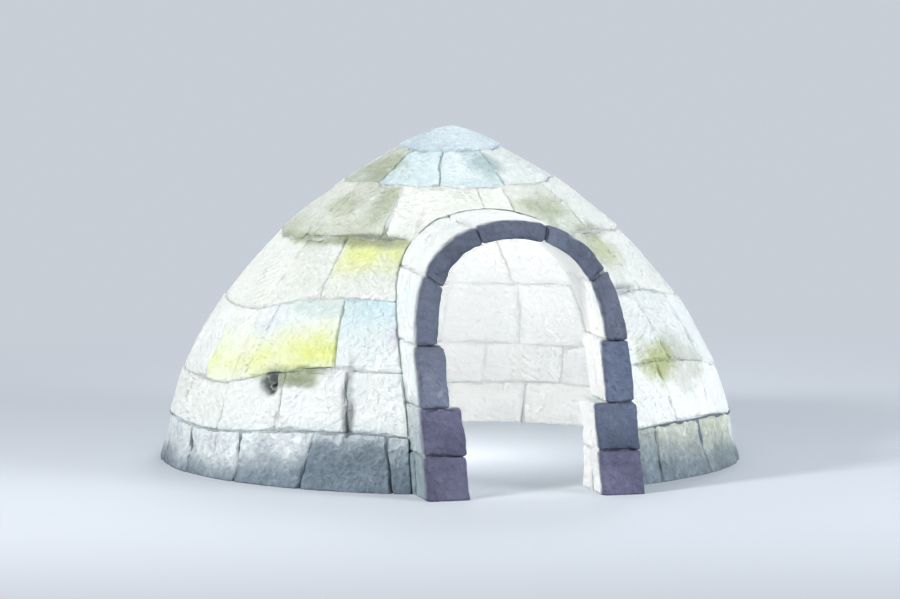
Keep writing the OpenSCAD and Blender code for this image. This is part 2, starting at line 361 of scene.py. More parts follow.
# Marks on the outer face: course, or None where they lie over a joint; angle, height,
# half width, half height, colour, strength and how deep the snow has come away there
MARKS = [
    # Painted light along the foot's top joint
    (None, -82, on_bed(1, -82), 0.8, 0.07, FOOT_LIT, 0.85, 0),
    (None, -62, on_bed(1, -62), 0.62, 0.075, FOOT_LIT, 0.85, 0),
    (None, -40, on_bed(1, -40), 0.62, 0.07, PALE_LIT, 0.7, 0),
    # Olive over joints: partly painted shade in the grooves, partly dirtier snow
    (None, -51, on_bed(2, -51) - 0.03, 0.36, 0.07, OLIVE_SHADE_AND_DIRT, 0.9, 0.008),
    # Olive-grey low on the second course and in the pits below: partly painted shade, partly stained
    # snow
    ("second", -53, on_bed(2, -53) - 0.09, 0.3, 0.055, SHADE_AND_STAIN, 0.75, 0.01),
    # Painted shadow in the hole
    (None, -57, on_bed(2, -57) - 0.11, 0.115, 0.085, HOLE_SHADOW, 1, 0.06),
    # Painted shade in the eroded upright joint
    (None, -37.3, 1.08, 0.045, 0.28, GROOVE_SHADE, 0.35, 0.008),
    (None, -36.1, 0.76, 0.06, 0.22, GROOVE_SHADE, 0.7, 0.008),
    ("third", -25, 1.62, 0.2, 0.12, ROSE, 0.5, 0),
    ("third", -65, 1.74, 0.2, 0.22, LAVENDER, 0.3, 0),
    ("third", -49, on_bed(3, -49) - 0.1, 0.4, 0.08, SEA, 0.55, 0),
    (None, 49, 1.2, 0.42, 0.26, SHADE_AND_STAIN, 0.34, 0),
    (None, 38.5, 1.24, 0.28, 0.2, OCHRE, 0.85, 0.01),
    (None, -43, on_bed(4, -43) - 0.05, 0.44, 0.055, SHADE_AND_STAIN, 0.75, 0.008),
    (None, -72, on_bed(4, -72), 0.42, 0.05, OLIVE_SHADE_AND_DIRT, 0.7, 0.008),
    # Painted shade in a pit
    (None, 38, on_bed(3, 38), 0.18, 0.055, GROOVE_SHADE, 0.5, 0.008),
    (None, 45, on_bed(4, 45), 0.32, 0.075, SHADE_AND_STAIN, 0.6, 0.008),
    ("fourth", 45, 2.36, 0.26, 0.12, OCHRE, 0.5, 0.012),
    # Olive patches on the fifth and sixth courses: partly painted shade, partly dirtier snow in shallow
    # hollows
    ("fifth", -46, 2.9, 0.13, 0.16, OLIVE_SHADE_AND_DIRT, 0.5, 0.014),
    ("fifth", -70, 2.86, 0.2, 0.1, OLIVE_SHADE_AND_DIRT, 0.5, 0.014),
    ("fifth", 35, 2.86, 0.34, 0.1, OLIVE_SHADE_AND_DIRT, 0.55, 0.014),
    ("sixth", -74, 3.24, 0.26, 0.09, OLIVE_SHADE_AND_DIRT, 0.45, 0.012),
    ("sixth", 14, 3.28, 0.18, 0.1, TEAL, 0.6, 0.012),
]


# Blocks

# Width of rounded edges, and the mesh's rows in it, along and through a block
EDGE = 0.030
EASING = np.array([0, 0.42, 0.76, 1])
THIN_EASING = np.array([0, 0.6, 1])

# Mesh steps: along and up a block, through the wall, through a portal stone, in packed snow
STEP = 0.025
WALL_STEP = 0.11
STONE_STEP = 0.035
CORE_STEP = 0.04

# A block's distance from the line of its joint, and that of points which are joined
GAP = 0.004
WELD_REACH = 1e-5

# Steps to a point's neighbours, along a block and out of it, which give its ways
PROBE = 0.005
OUT_PROBE = 0.01

# A face's wear goes on over its edges, and fades about this far down the block's other sides
FACE_REACH = 0.12

# Depths of wear on a face, and of what is broken off within a reach of an edge
LUMPS = 0.005
HOLLOWS = 0.0035
GRIT = 0.0022
GOUGES = 0.022
CHIPS = 0.080
CRUMBS = 0.026
CHIP_REACH = 0.035

# The share of a block's bow that is cut off, the deepest bow, the dome's radius upwards, and
# how far a face is askew
FLATNESS = 0.40
MOST_BOW = 0.035
RISE_RADIUS = 4.2
TILT = 0.006

# Two ridges and a hollow cross each face: their slope, reach, and most distance from its middle
CREASES = 3
CREASE_SLOPE = 0.028
MOST_ACROSS = 0.30
HOLLOW_REACH = 0.4
MOST_MISS = 0.16

# How far the packed snow lies under the six sides of the dome's blocks, and under the portal's
CORE_DEPTHS = [0, 0, 0, 0, 0.135, 0.05]
PORTAL_CORE_DEPTH = 0.042

# How far it rises between two blocks, and how near to their joint
CHINK = 0.066
FOOT_CHINK = 0.080
CHINK_REACH = 0.045

# Reach of a pit into the wall, and the width in which a mark's hollow runs out at an edge
PIT_REACH = 0.15
MARK_REACH = 0.15

# Where a mark ends, and the width in which it fades, both in its own half sizes
MARK_FRINGE = 1.45
MARK_FADE = 0.80

# How patchy dark and pale snow are, the packed snow's brightest tint, its saw marks' turn
DARK_PATCHES = 0.30
PALE_PATCHES = 0.03
BRIGHTEST_CORE = 0.93
CORE_TURN = 3

# A point lies on a block's end or bed where its way out leans this much that way
ON_END = 0.8


def rows(length, step, soft_low, soft_high, easing):
    """Places along one side of a block, closer together where its edges are rounded."""
    eased = EDGE * easing
    low = eased if soft_low else np.zeros(1)
    high = length - (eased[::-1] if soft_high else np.zeros(1))
    count = max(1, round((high[0] - low[-1]) / step))
    middle = np.linspace(low[-1], high[0], count + 1)[1:-1]
    return np.concatenate([low, middle, high])


def box_skin(axes):
    """The points on the outside of a block's grid, and the quads between them with their side."""
    shape = [len(axis) for axis in axes]
    inside = np.zeros(shape, bool)
    inside[1:-1, 1:-1, 1:-1] = True
    ids = np.full(shape, -1)
    ids[~inside] = np.arange((~inside).sum())
    points = np.stack(np.meshgrid(*axes, indexing="ij"), -1)[~inside]
    quads = []
    sides = []
    for axis in range(3):
        for end in (0, -1):
            sheet = np.take(ids, end, axis=axis)
            quad = np.stack([sheet[:-1, :-1], sheet[1:, :-1], sheet[1:, 1:], sheet[:-1, 1:]], -1)
            quad = quad.reshape(-1, 4)
            if (end == 0) != (axis == 1):
                quad = quad[:, ::-1]
            quads.append(quad)
            sides.append(np.full(len(quad), 2 * axis + (end == -1)))
    return points, np.concatenate(quads), np.concatenate(sides)


def lengths(place):
    """The middle lengths of a block along, up and through."""
    share = np.linspace(0, 1, 17)
    half = np.full_like(share, 0.5)
    none = np.zeros_like(share)
    paths = [place(share, half, none), place(half, share, none), place(half, half, share)]
    return np.array([np.linalg.norm(np.diff(path, axis=0), axis=1).sum() for path in paths])


def unit(ways):
    """Ways brought to a length of 1."""
    return ways / np.maximum(np.linalg.norm(ways, axis=1), TINY)[:, None]


def way_along(place, share, full, axis):
    """The way along, up or through a block at each of its points."""
    step = np.zeros(3)
    step[axis] = PROBE / full[axis]
    return unit(place(*(share + step).T) - place(*(share - step).T))


def ways_out(place, share, out, full, points):
    """The way out of a block at each of its points."""
    return unit(points - place(*(share - OUT_PROBE * out / full).T))


def worn_face(points, seed):
    """How far a face lies under its cut plane, from wind, melting and rough handling."""
    lumps = LUMPS * (1 + noise(points, 2.9, seed))
    hollows = HOLLOWS * (1 + noise(points, 7.5, seed + 1))
    grit = GRIT * noise(points, 19, seed + 2)
    gouges = GOUGES * clamp(noise(points, 10.5, seed + 7) - 0.42)
    return lumps + hollows + grit + gouges


def worn_edge(points, edge_distance, seed):
    """How much is broken off near an edge."""
    near_edge = np.exp(-edge_distance / CHIP_REACH)
    chips = CHIPS * clamp(noise(points, 6.5, seed + 3) - 0.15)
    crumbs = CRUMBS * clamp(noise(points, 17, seed + 4))
    return (chips + crumbs) * near_edge


def around(points):
    """Each point's angle round the dome from the doorway, and its distance from the axis."""
    angles = np.degrees(np.arctan2(points[:, 0], axis_y - points[:, 1]))
    return angles, np.hypot(points[:, 0], points[:, 1] - axis_y)


def pitted(points):
    """How deep the listed pits reach at each point; none reach through the wall."""
    angles, radius = around(points)
    ragged = 0.25 * noise(points, 9, 64) + 0.15 * noise(points, 22, 65)
    depth = np.zeros(len(points))
    for angle, height, half_w, half_h, deep in PITS:
        aside = np.radians(angles - angle) * radius / half_w
        up = (points[:, 2] - height) / half_h
        behind = (float(skin(run_at(height), 0)[0]) - radius) / PIT_REACH
        away = np.sqrt(aside ** 2 + up ** 2 + behind ** 2) + ragged
        depth = np.maximum(depth, deep * clamp(1.3 - away ** 2))
    return depth


def cut_flat(points, share, full, seed, span):
    """How far a block's outer face is cut back so that it is flatter than the dome, and tilted."""
    along = mix(*span, share[:, 0])
    up = share[:, 1]
    length = full[0] / (span[1] - span[0])
    radius = around(points)[1].mean()
    bow = 4 * min(length ** 2 / 8 / radius, MOST_BOW) * along * (1 - along)
    bow = bow + full[1] ** 2 / 2 / RISE_RADIUS * up * (1 - up)
    tilt = math.sin(1.3 * seed) * (along - 0.5) + math.sin(2.7 * seed) * (up - 0.5)
    cut = FLATNESS * bow + TILT * (1 + tilt)
    for crease in range(CREASES):
        turn = 2.4 * seed + 1.1 * crease
        miss = MOST_MISS * math.sin(3.3 * seed + 2 * crease)
        across = (along - 0.5) * length * math.cos(turn) + (up - 0.5) * full[1] * math.sin(turn)
        across = np.minimum(np.abs(across - miss), MOST_ACROSS)
        fall = across if crease < CREASES - 1 else clamp(HOLLOW_REACH - across)
        cut = cut + CREASE_SLOPE * fall / 2
    return cut


def mark_shares(points, course):
    """How strongly each mark shows, and how deep it is, on a course or between its blocks."""
    angles, radius = around(points)
    ragged = 0.36 * noise(points, 4.5, 61) + 0.26 * noise(points, 11, 62)
    ragged = ragged + 0.16 * noise(points, 27, 63)
    for mark_course, angle, height, half_w, half_h, colour, strength, deep in MARKS:
        if mark_course in (None, course):
            aside = np.radians(angles - angle) * radius / half_w
            away = np.hypot(aside, (points[:, 2] - height) / half_h) + ragged
            shows = clamp((MARK_FRINGE - away) / MARK_FADE)
            yield strength * shows, deep * shows, colour


def paint_dome(points, share, out, tint, glow, extra):
    """Tints and glow of the dome's snow: lit through outside, bright inside, with the listed marks."""
    course, shade = extra
    inside = clamp(1.25 * out[:, 2])
    tints = np.tile(tint, (len(points), 1))
    if shade:
        colour, strengths = shade
        ragged = 0.09 * noise(points, 3.5, 71) + 0.05 * noise(points, 13, 72)
        strength = np.interp(share[:, 1] + ragged, TINT_STEPS, strengths)
        strength = strength * (0.92 + 0.30 * noise(points, 3, 73) + 0.20 * noise(points, 9, 74))
        strength = clamp(strength)
        tints = mix(tints, colour, strength[:, None])
    tints = mix(tints, INSIDE_SNOW, inside[:, None])
    for strength, _, colour in mark_shares(points, course):
        tints = mix(tints, colour, (strength * (1 - inside))[:, None])
    return tints, mix(glow, INSIDE_GLOW, inside)


def from_joints(points, share, rise, joints):
    """How far each point of the packed snow lies from the nearest joint between two blocks."""
    angles, radius = around(points)
    away = np.minimum(share[:, 1], 1 - share[:, 1]) * rise
    for angle, lean in joints:
        aside = (angles - angle - lean * (share[:, 1] - 0.5) + 180) % 360 - 180
        away = np.minimum(away, np.abs(np.radians(aside)) * radius)
    return away


def add_object(name, content):
    """A new object of the scene."""
    added = bpy.data.objects.new(name, content)
    bpy.context.scene.collection.objects.link(added)
    return added


def weld(mesh):
    """Joins points that lie on one another, so that no face is left without an area."""
    joined = bmesh.new()
    joined.from_mesh(mesh)
    bmesh.ops.remove_doubles(joined, verts=joined.verts, dist=WELD_REACH)
    joined.to_mesh(mesh)
    joined.free()


class Shell:
    """The blocks of one piece, and the packed snow between them, until they become its mesh."""

    def __init__(self, on_dome, flip):
        self.on_dome = on_dome
        self.paint = paint_dome if on_dome else paint_portal
        self.flip = flip
        self.count = 0
        self.parts = []

    def keep(self, points, quads, flat, tints, glows, cuts):
        """Puts one part's points and faces aside until the piece is finished."""
        if self.flip:
            quads = quads[:, ::-1]
        self.parts.append((points, quads + self.count, flat, clamp(tints), glows, cuts))
        self.count += len(points)

    def add_block(self, place, seed, tint, glow, soft, gaps, recess, steps, extra=None,
                  span=(0, 1), flat=False):
        """One block. soft says which of its six sides are rounded; the others meet its other part
        or the ground. span is the share of the whole block's length that this part covers."""
        full = lengths(place)
        soft = np.array(soft, bool).reshape(3, 2)
        gaps = np.array(gaps, float).reshape(3, 2)
        size = full - gaps.sum(1)
        easings = [EASING, EASING, THIN_EASING]
        grid, quads, sides = box_skin([rows(size[i], steps[i], *soft[i], easings[i]) for i in range(3)])
        core = np.clip(grid, np.where(soft[:, 0], EDGE, 0), size - np.where(soft[:, 1], EDGE, 0))
        out = grid - core
        reach = np.linalg.norm(out, axis=1)
        rounded = reach > TINY
        out /= np.where(rounded, reach, 1)[:, None]
        to_low = np.where(soft[:, 0], grid, FAR)
        to_high = np.where(soft[:, 1], size - grid, FAR)
        edge_distance = np.sort(np.minimum(to_low, to_high), axis=1)[:, 1]
        grid = np.where(rounded[:, None], core + out * EDGE, grid)
        share = (gaps[:, 0] + grid) / full
        points = place(*share.T)
        tints, glows = self.paint(points, share, out, tint, glow, extra)
        patchy = noise(points, 2.2, seed + 5) + 0.6 * noise(points, 9, seed + 6)
        patchiness = mix(DARK_PATCHES, PALE_PATCHES, clamp(tints))
        tints = tints * (1 + patchiness * patchy[:, None])
        eaten = worn_edge(points, edge_distance, seed)
        face_wear = recess + worn_face(points, seed)
        outer_wear = face_wear
        if self.on_dome:
            eaten = eaten + pitted(points)
            for _, deep, _ in mark_shares(points, extra[0]):
                outer_wear = outer_wear + deep * clamp(edge_distance / MARK_REACH)
            if flat:
                outer_wear = outer_wear + cut_flat(points, share, full, seed, span)
        way = ways_out(place, share, out, full, points)
        worn = points - way * (eaten * rounded)[:, None]
        for axis, side in np.argwhere(soft & (gaps == 0)):
            inward = way_along(place, share, full, axis) * (1 - 2 * side)
            distance = size[axis] - grid[:, axis] if side else grid[:, axis]
            wear = (face_wear if side else outer_wear) * clamp(1.3 - distance / FACE_REACH)
            worn = worn + inward * wear[:, None]
        # The saw marks' own place, along and up the block and on round its ends, and their turn
        along = grid[:, 0] + np.where(np.abs(out[:, 0]) > ON_END, grid[:, 2], 0)
        along = along + span[0] * full[0] / (span[1] - span[0])
        up = grid[:, 1] + np.where(np.abs(out[:, 1]) > ON_END, grid[:, 2], 0)
        cuts = np.stack([along, up, np.full(len(grid), seed % 89)], 1)
        hidden = np.array([not soft[side // 2, side % 2] for side in range(6)])
        self.keep(worn, quads, hidden[sides], tints, glows, cuts)

    def add_core(self, place, seed, tint, glow, depths, chink=0.0, joints=()):
        """The packed snow between the blocks: a rough slab that lies under their faces. On the
        dome it rises by the chink's height where two blocks meet."""
        full = lengths(place)
        depths = np.array(depths, float).reshape(3, 2)
        size = full - depths.sum(1)
        axes = [np.linspace(0, side, max(2, round(side / CORE_STEP)) + 1) for side in size]
        grid, quads, _ = box_skin(axes)
        share = (depths[:, 0] + grid) / full
        points = place(*share.T)
        high = (grid > size - TINY) * (depths[:, 1] > 0)
        low = 1.0 * (grid < TINY) * (depths[:, 0] > 0)
        out = high - low
        way = ways_out(place, share, out, full, points)
        rough = 0.004 * noise(points, 6, seed) + 0.006 * noise(points, 18, seed + 1)
        if self.on_dome:
            near = from_joints(points, share, full[1], joints) / CHINK_REACH
            near = clamp(1.5 - near)
            outside = clamp(-out[:, 2])
            rough = rough + (chink + 0.012 * noise(points, 4.5, seed + 4)) * near * outside
            rough = rough - 0.7 * pitted(points)
        tints, glows = self.paint(points, share, out, tint, glow, (None, None))
        points = points + way * rough[:, None]
        patchy = 0.90 + 0.16 * noise(points, 1.6, seed + 2) + 0.10 * noise(points, 9, seed + 3)
        tints = np.clip(tints * patchy[:, None], 0, BRIGHTEST_CORE)
        cuts = np.stack([grid[:, 0], grid[:, 1], np.full(len(grid), CORE_TURN)], 1)
        self.keep(points, quads, np.zeros(len(quads), bool), tints, glows, cuts)

    def finish(self, node, slot):
        """Makes the mesh that stands for a CAD node."""
        points, quads, flat, tints, glows, cuts = [np.concatenate(part) for part in zip(*self.parts)]
        mesh = bpy.data.meshes.new(f"blocks_{node}")
        mesh.from_pydata(points.tolist(), [], quads.tolist())
        mesh.polygons.foreach_set("use_smooth", ~flat)
        tints = np.concatenate([tints, np.ones((len(tints), 1))], 1)
        mesh.attributes.new("tint", "FLOAT_COLOR", "POINT").data.foreach_set("color", tints.ravel())
        mesh.attributes.new("glow", "FLOAT", "POINT").data.foreach_set("value", glows)
        mesh.attributes.new("cut", "FLOAT_VECTOR", "POINT").data.foreach_set("vector", cuts.ravel())
        mesh.materials.append(MATERIALS[slot])
        weld(mesh)
        mesh.update()
        piece = add_object(mesh.name, mesh)
        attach(piece, "root")
        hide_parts(node)


# Snow


def empty_tree(owner):
    """The node tree of a material or a world, with nothing in it yet."""
    owner.use_nodes = True
    owner.node_tree.nodes.clear()
    return owner.node_tree


def add_node(tree, kind, links=(), **settings):
    """A shader node. Links go from another node's output to this node's input, by name or number."""
    node = tree.nodes.new(kind)
    for name, value in settings.items():
        if hasattr(node, name):
            setattr(node, name, value)
        else:
            node.inputs[name.replace("_", " ")].default_value = value
    for source, output, target in links:
        tree.links.new(source.outputs[output], node.inputs[target])
    return node


def add_range(tree, source, output, low, high, to_low=0, to_high=1):
    """Brings a value between two limits to other limits."""
    return add_node(tree, "ShaderNodeMapRange", [(source, output, "Value")], From_Min=low,
                    From_Max=high, To_Min=to_low, To_Max=to_high)


def add_noise(tree, place, scale, detail, roughness):
    """Noise that is fixed to the piece."""
    return add_node(tree, "ShaderNodeTexNoise", [(place, "Object", "Vector")], Scale=scale,
                    Detail=detail, Roughness=roughness)


# Emission of snow whose own glow is 1, and the tint of the clouds
GLOW_STRENGTH = 0.09
CLOUD_BLUE = (0.90, 0.965, 1.0, 1.0)


def snow(name, saw_depth, grain, roughness, hollow_shade):
    """Packed snow: grains, pits, wind crust with painted shade in its hollows, and saw marks that turn
    from block to block.
    """
    material = bpy.data.materials.new(name)
    tree = empty_tree(material)
    tint, cut, shine = [add_node(tree, "ShaderNodeAttribute", attribute_name=kept)
                        for kept in ("tint", "cut", "glow")]
    place = add_node(tree, "ShaderNodeTexCoord")

    # Saw marks: bands in the block's own plane, turned by its own angle, that come and go
    parts = add_node(tree, "ShaderNodeSeparateXYZ", [(cut, "Vector", 0)])
    turn = add_node(tree, "ShaderNodeMath", [(parts, "Z", 0)], operation="SINE")
    lean = add_node(tree, "ShaderNodeMath", [(turn, 0, 0)], operation="MULTIPLY")
    lean.inputs[1].default_value = 0.7
    turned = add_node(tree, "ShaderNodeVectorRotate", [(cut, "Vector", "Vector"), (lean, 0, "Angle")],
                      rotation_type="Z_AXIS")
    saw = add_node(tree, "ShaderNodeTexWave", [(turned, 0, "Vector")], wave_type="BANDS",
                   bands_direction="Y", Scale=4.2, Distortion=2.4, Detail=4.0, Detail_Scale=2.2,
                   Detail_Roughness=0.7)
    where = add_noise(tree, place, 1.9, 2.0, 0.5)
    rough = add_range(tree, where, "Fac", 0.47, 0.66)
    sawn = add_node(tree, "ShaderNodeMath", [(saw, "Fac", 0), (rough, 0, 1)], operation="MULTIPLY")

    grains = add_noise(tree, place, 120.0, 3.0, 0.65)
    crust = add_noise(tree, place, 15.0, 6.0, 0.58)
    clouds = add_noise(tree, place, 2.6, 4.0, 0.55)
    pores = add_node(tree, "ShaderNodeTexVoronoi", [(place, "Object", "Vector")], Scale=34.0)

    # Colour: the block's tint, painted shade in the crust's hollows and light on its crests, bluer in
    # the clouds
    crust_shade = add_range(tree, crust, "Fac", 0.32, 0.60, hollow_shade, 2.01 - hollow_shade)
    shaded = add_node(tree, "ShaderNodeVectorMath", [(tint, "Color", 0), (crust_shade, 0, "Scale")],
                      operation="SCALE")
    cloudy = add_range(tree, clouds, "Fac", 0.42, 0.70, 0, 0.4)
    cooled = add_node(tree, "ShaderNodeMix", [(cloudy, 0, 0), (shaded, 0, 6)], data_type="RGBA",
                      blend_type="MULTIPLY")
    cooled.inputs[7].default_value = CLOUD_BLUE

    # Relief, from the saw down to the single grains: what it follows, its strength and depth
    hollows = add_range(tree, crust, "Fac", 0.34, 0.64)
    pits = add_range(tree, pores, "Distance", 0, 0.33)
    normal = []
    for source, socket, force, depth in [
            (sawn, 0, 0.8, saw_depth), (hollows, 0, 1.0, 0.020), (pits, 0, 0.45, 0.004),
            (grains, "Fac", 0.7, grain)]:
        bump = add_node(tree, "ShaderNodeBump", [(source, socket, "Height")] + normal,
                        Strength=force, Distance=depth)
        normal = [(bump, 0, "Normal")]

    worn_smooth = add_range(tree, crust, "Fac", 0.35, 0.65, roughness + 0.10, roughness - 0.12)
    strength = add_node(tree, "ShaderNodeMath", [(shine, "Fac", 0)], operation="MULTIPLY")
    strength.inputs[1].default_value = GLOW_STRENGTH
    links = [(cooled, 2, "Base Color"), (worn_smooth, 0, "Roughness"),
             (tint, "Color", "Emission Color"), (strength, 0, "Emission Strength")]
    shader = add_node(tree, "ShaderNodeBsdfPrincipled", links + normal, Specular_IOR_Level=0.3)
    add_node(tree, "ShaderNodeOutputMaterial", [(shader, 0, 0)])
    return material


MATERIALS = {
    "lit_snow": snow("lit_snow", saw_depth=0.010, grain=0.003, roughness=0.80, hollow_shade=0.95),
    "foot_snow": snow("foot_snow", saw_depth=0.006, grain=0.004, roughness=0.86, hollow_shade=0.84),
    "portal_snow": snow("portal_snow", saw_depth=0.010, grain=0.003, roughness=0.78,
                        hollow_shade=0.90),
}

# The dome's blocks

# Upright joints of each course, in degrees from the doorway, on its left and right hand
UPRIGHTS = {
    ("foot", LEFT): [27, 44.5, 62, 79.5, 96, 112.5, 129, 144, 160.5, 176],
    ("foot", RIGHT): [31, 47, 64.5, 82, 99, 114, 129, 148, 166, 184],
    ("second", LEFT): [36.8, 53, 70, 88, 104, 121, 139, 154, 169, 184],
    ("second", RIGHT): [38, 54, 70, 86, 105, 121, 138, 157, 176],
    ("third", LEFT): [42.5, 64.5, 83, 98, 113, 129, 151, 176],
    ("third", RIGHT): [42, 59, 78, 97, 113, 129, 147, 166, 184],
    ("fourth", LEFT): [52.5, 70, 95, 121, 142, 163, 184],
    ("fourth", RIGHT): [46, 70, 93, 121, 148, 176],
    ("fifth", LEFT): [40, 74, 106, 141, 176],
    ("fifth", RIGHT): [14, 45, 77, 112, 149, 184],
    ("sixth", LEFT): [60, 99, 141, 180],
    ("sixth", RIGHT): [-60, -22, 19, 60, 102, 138, 180],
}

# Joints between the CAD nodes; at the side and behind they shift from course to course
FRONT_JOINT = 70
SIDE_JOINT = 125
SIXTH_JOINT = 60
BOND_SHIFT = 4

# The fifth course's first block starts past the doorway's middle, and nodes on both hands
# share it and its seed
OVER_CROWN = -30
CROWN_SEED = 5000

# The most that an upright joint leans, and the share of it where the joint parts two nodes
MOST_LEAN = 2.6
NODE_LEAN = 0.15

# First guess of where a course meets the portal, the rounds that mend it, and how far the
# packed snow runs on there
PORTAL_ANGLE = 25.0
PLACE_ROUNDS = 7
UNDER_PORTAL = 0.03

# How much one block differs from the next: in warmth, in shade, in how deep its face lies
WARMTH = 0.010
SHADE = 0.035
RECESS = 0.005


def joint_lean(course, angle, at_node):
    """How far an upright joint leans over, in degrees; less where it parts two CAD nodes."""
    lean = MOST_LEAN * math.sin(7.3 * angle + 2.9 * course)
    return lean * (NODE_LEAN if at_node else 1.0)


def dome_place(course, hand, near, far, near_lean=0.0, far_lean=0.0, past_portal=0.0):
    """Maps shares along, up and into a stretch of a course to places. near is None at the portal."""

    def place(u, v, w):
        angle = mix(PORTAL_ANGLE if near is None else near, far, u)
        low = bed_at(course, hand * angle)
        for _ in range(PLACE_ROUNDS):
            low_bed = bed_at(course, hand * angle)
            if course == FIFTH:
                radius, height = skin(low, w)
                beside = radius * np.sin(np.radians(angle))
                drop = outline(low)[1] - height
                over_arch = portal_top(beside, np.abs(angle) < 90) - past_portal
                low = np.maximum(low_bed, run_at(over_arch + drop))
            else:
                low = low_bed
            radius, height = skin(mix(low, bed_at(course + 1, hand * angle), v), w)
            if near is None:
                beside = np.clip((portal_half(height) - past_portal) / radius, 0, 0.99)
                first = np.degrees(np.arcsin(beside))
            else:
                first = near + near_lean * (v - 0.5)
            angle = mix(first, far + far_lean * (v - 0.5), u)
        turn = np.radians(angle)
        return np.stack([hand * radius * np.sin(turn), axis_y - radius * np.cos(turn), height], -1)

    return place


def build_stretch(node, course, hand, start, end):
    """The blocks of a course between two node joints, and the packed snow between them."""
    name = COURSES[course]
    shell = Shell(True, flip=hand == RIGHT)
    uprights = UPRIGHTS[name, hand]
    at_portal = course < FIFTH and start == 0
    edges = [None if course < FIFTH else OVER_CROWN] + uprights
    seeds = 1000 * (course + 1) + 400 * (hand == RIGHT)
    joints = []
    for i, far in enumerate(uprights):
        near = edges[i]
        if far <= start or (near is not None and near >= end):
            continue
        seed = CROWN_SEED if course == FIFTH and i == 0 else seeds + 10 * i
        split_near = near is not None and near < start
        split_far = far > end
        first = PORTAL_ANGLE if near is None else near
        span = (max(start - first, 0) / (far - first), (min(far, end) - first) / (far - first))
        near = near if near is None else max(near, start)
        far = min(far, end)
        near_lean = 0 if near is None or split_near else joint_lean(course, near, near in (start, end))
        far_lean = 0 if split_far else joint_lean(course, far, far in (start, end))
        if not split_far:
            joints.append((hand * far, hand * far_lean))
        if near is not None and not split_near:
            joints.append((hand * near, hand * near_lean))
        warm = WARMTH * math.sin(3.7 * seed)
        tint = SNOW[name] * (0.98 + SHADE * math.sin(5.1 * seed)) * np.array([1 + warm, 1, 1 - warm])
        # Foot blocks without their own entry get painted light towards their heads
        shade = BLOCK_TINTS.get((name, hand, i), None if course else FOOT_LIT_UPPER)
        low_gap = GAP if course else 0
        shell.add_block(
            dome_place(course, hand, near, far, near_lean, far_lean), seed, tint, GLOWS[name],
            soft=[not split_near, not split_far, course > 0, True, True, True],
            gaps=[0 if split_near else GAP, 0 if split_far else GAP, low_gap, GAP, 0, 0],
            recess=0.003 + RECESS * (1 + math.sin(2.3 * seed)), steps=[STEP, STEP, WALL_STEP],
            extra=(name, shade), span=span, flat=True)
    core = dome_place(course, hand, None if at_portal else start, end, past_portal=UNDER_PORTAL)
    core_tint = mix(JOINT_SNOW, SNOW[name], 0.5) if course else SNOW[name] * 0.9
    shell.add_core(core, seeds, core_tint, 0.5 * GLOWS[name], CORE_DEPTHS,
                   CHINK if course else FOOT_CHINK, joints)
    shell.finish(node, "foot_snow" if course == 0 else "lit_snow")


for course in range(SIXTH):
    shift = BOND_SHIFT if course % 2 == 0 else -BOND_SHIFT
    for hand in HANDS:
        ends = {"front": (0, FRONT_JOINT), "back": (FRONT_JOINT, 180 + hand * shift)}
        if course < FIFTH:
            ends["side"] = (FRONT_JOINT, SIDE_JOINT + shift)
            ends["back"] = (SIDE_JOINT + shift, 180 + hand * shift)
        for part, (start, end) in ends.items():
            build_stretch(f"{COURSES[course]}_course_{part}_{HANDS[hand]}", course, hand, start, end)

build_stretch("sixth_course_front", SIXTH, RIGHT, -SIXTH_JOINT, SIXTH_JOINT)
build_stretch("sixth_course_back_left", SIXTH, LEFT, SIXTH_JOINT, 180)
build_stretch("sixth_course_back_right", SIXTH, RIGHT, SIXTH_JOINT, 180)

# The king block: a round plug whose rim is slightly five-sided

KING_SEED = 7000

# The top of both faces. The inner one comes to a point, so its middle is closed with one given point
cap_runs = np.linspace(bed_runs[KING_BED] * 0.95, math.pi / 2, 300)
cap_outer_r, cap_outer_z = skin(cap_runs, np.zeros_like(cap_runs))
cap_inner_r, cap_inner_z = skin(cap_runs, np.ones_like(cap_runs))
wide = cap_inner_r > 0.02
cap_inner_r = np.append(cap_inner_r[wide], 0)
cap_inner_z = np.append(cap_inner_z[wide], dome_h - WALL_T)


def king_place(u, v, w):
    """Maps a square to the round plug, so that it is built as the other blocks are."""
    x, y = 2 * u - 1, 2 * v - 1
    x, y = x * np.sqrt(1 - y ** 2 / 2), y * np.sqrt(1 - x ** 2 / 2)
    reach = np.hypot(x, y)
    rim = bed_at(KING_BED, np.degrees(np.arctan2(x, -y)))
    outer_r = reach * skin(rim, 0)[0]
    inner_r = reach * skin(rim, 1)[0]
    outer_z = np.interp(-outer_r, -cap_outer_r, cap_outer_z)
    inner_z = np.interp(-inner_r, -cap_inner_r, cap_inner_z)
    share = mix(outer_r, inner_r, w) / np.maximum(reach, TINY)
    return np.stack([x * share, axis_y + y * share, mix(outer_z, inner_z, w)], -1)


shell = Shell(True, flip=True)
shell.add_block(king_place, KING_SEED, SNOW["king"], KING_GLOW, soft=[True] * 6,
                gaps=[GAP] * 4 + [0, 0], recess=0.004, steps=[STEP, STEP, WALL_STEP],
                extra=(None, None))
shell.add_core(king_place, KING_SEED + 50, mix(JOINT_SNOW, SNOW["king"], 0.3), 0.2, CORE_DEPTHS)
shell.finish("king_block", "lit_snow")

# The portal's blocks

# Painted shade on the portal's front faces: white snow that the light from inside does not reach
FRONT_SHADE_DARK = linear(0.38, 0.41, 0.48)
FRONT_SHADE_VIOLET = linear(0.40, 0.40, 0.50)
FRONT_SHADE_BLUE = linear(0.38, 0.42, 0.51)
FRONT_SHADE_DUSK = linear(0.47, 0.50, 0.58)
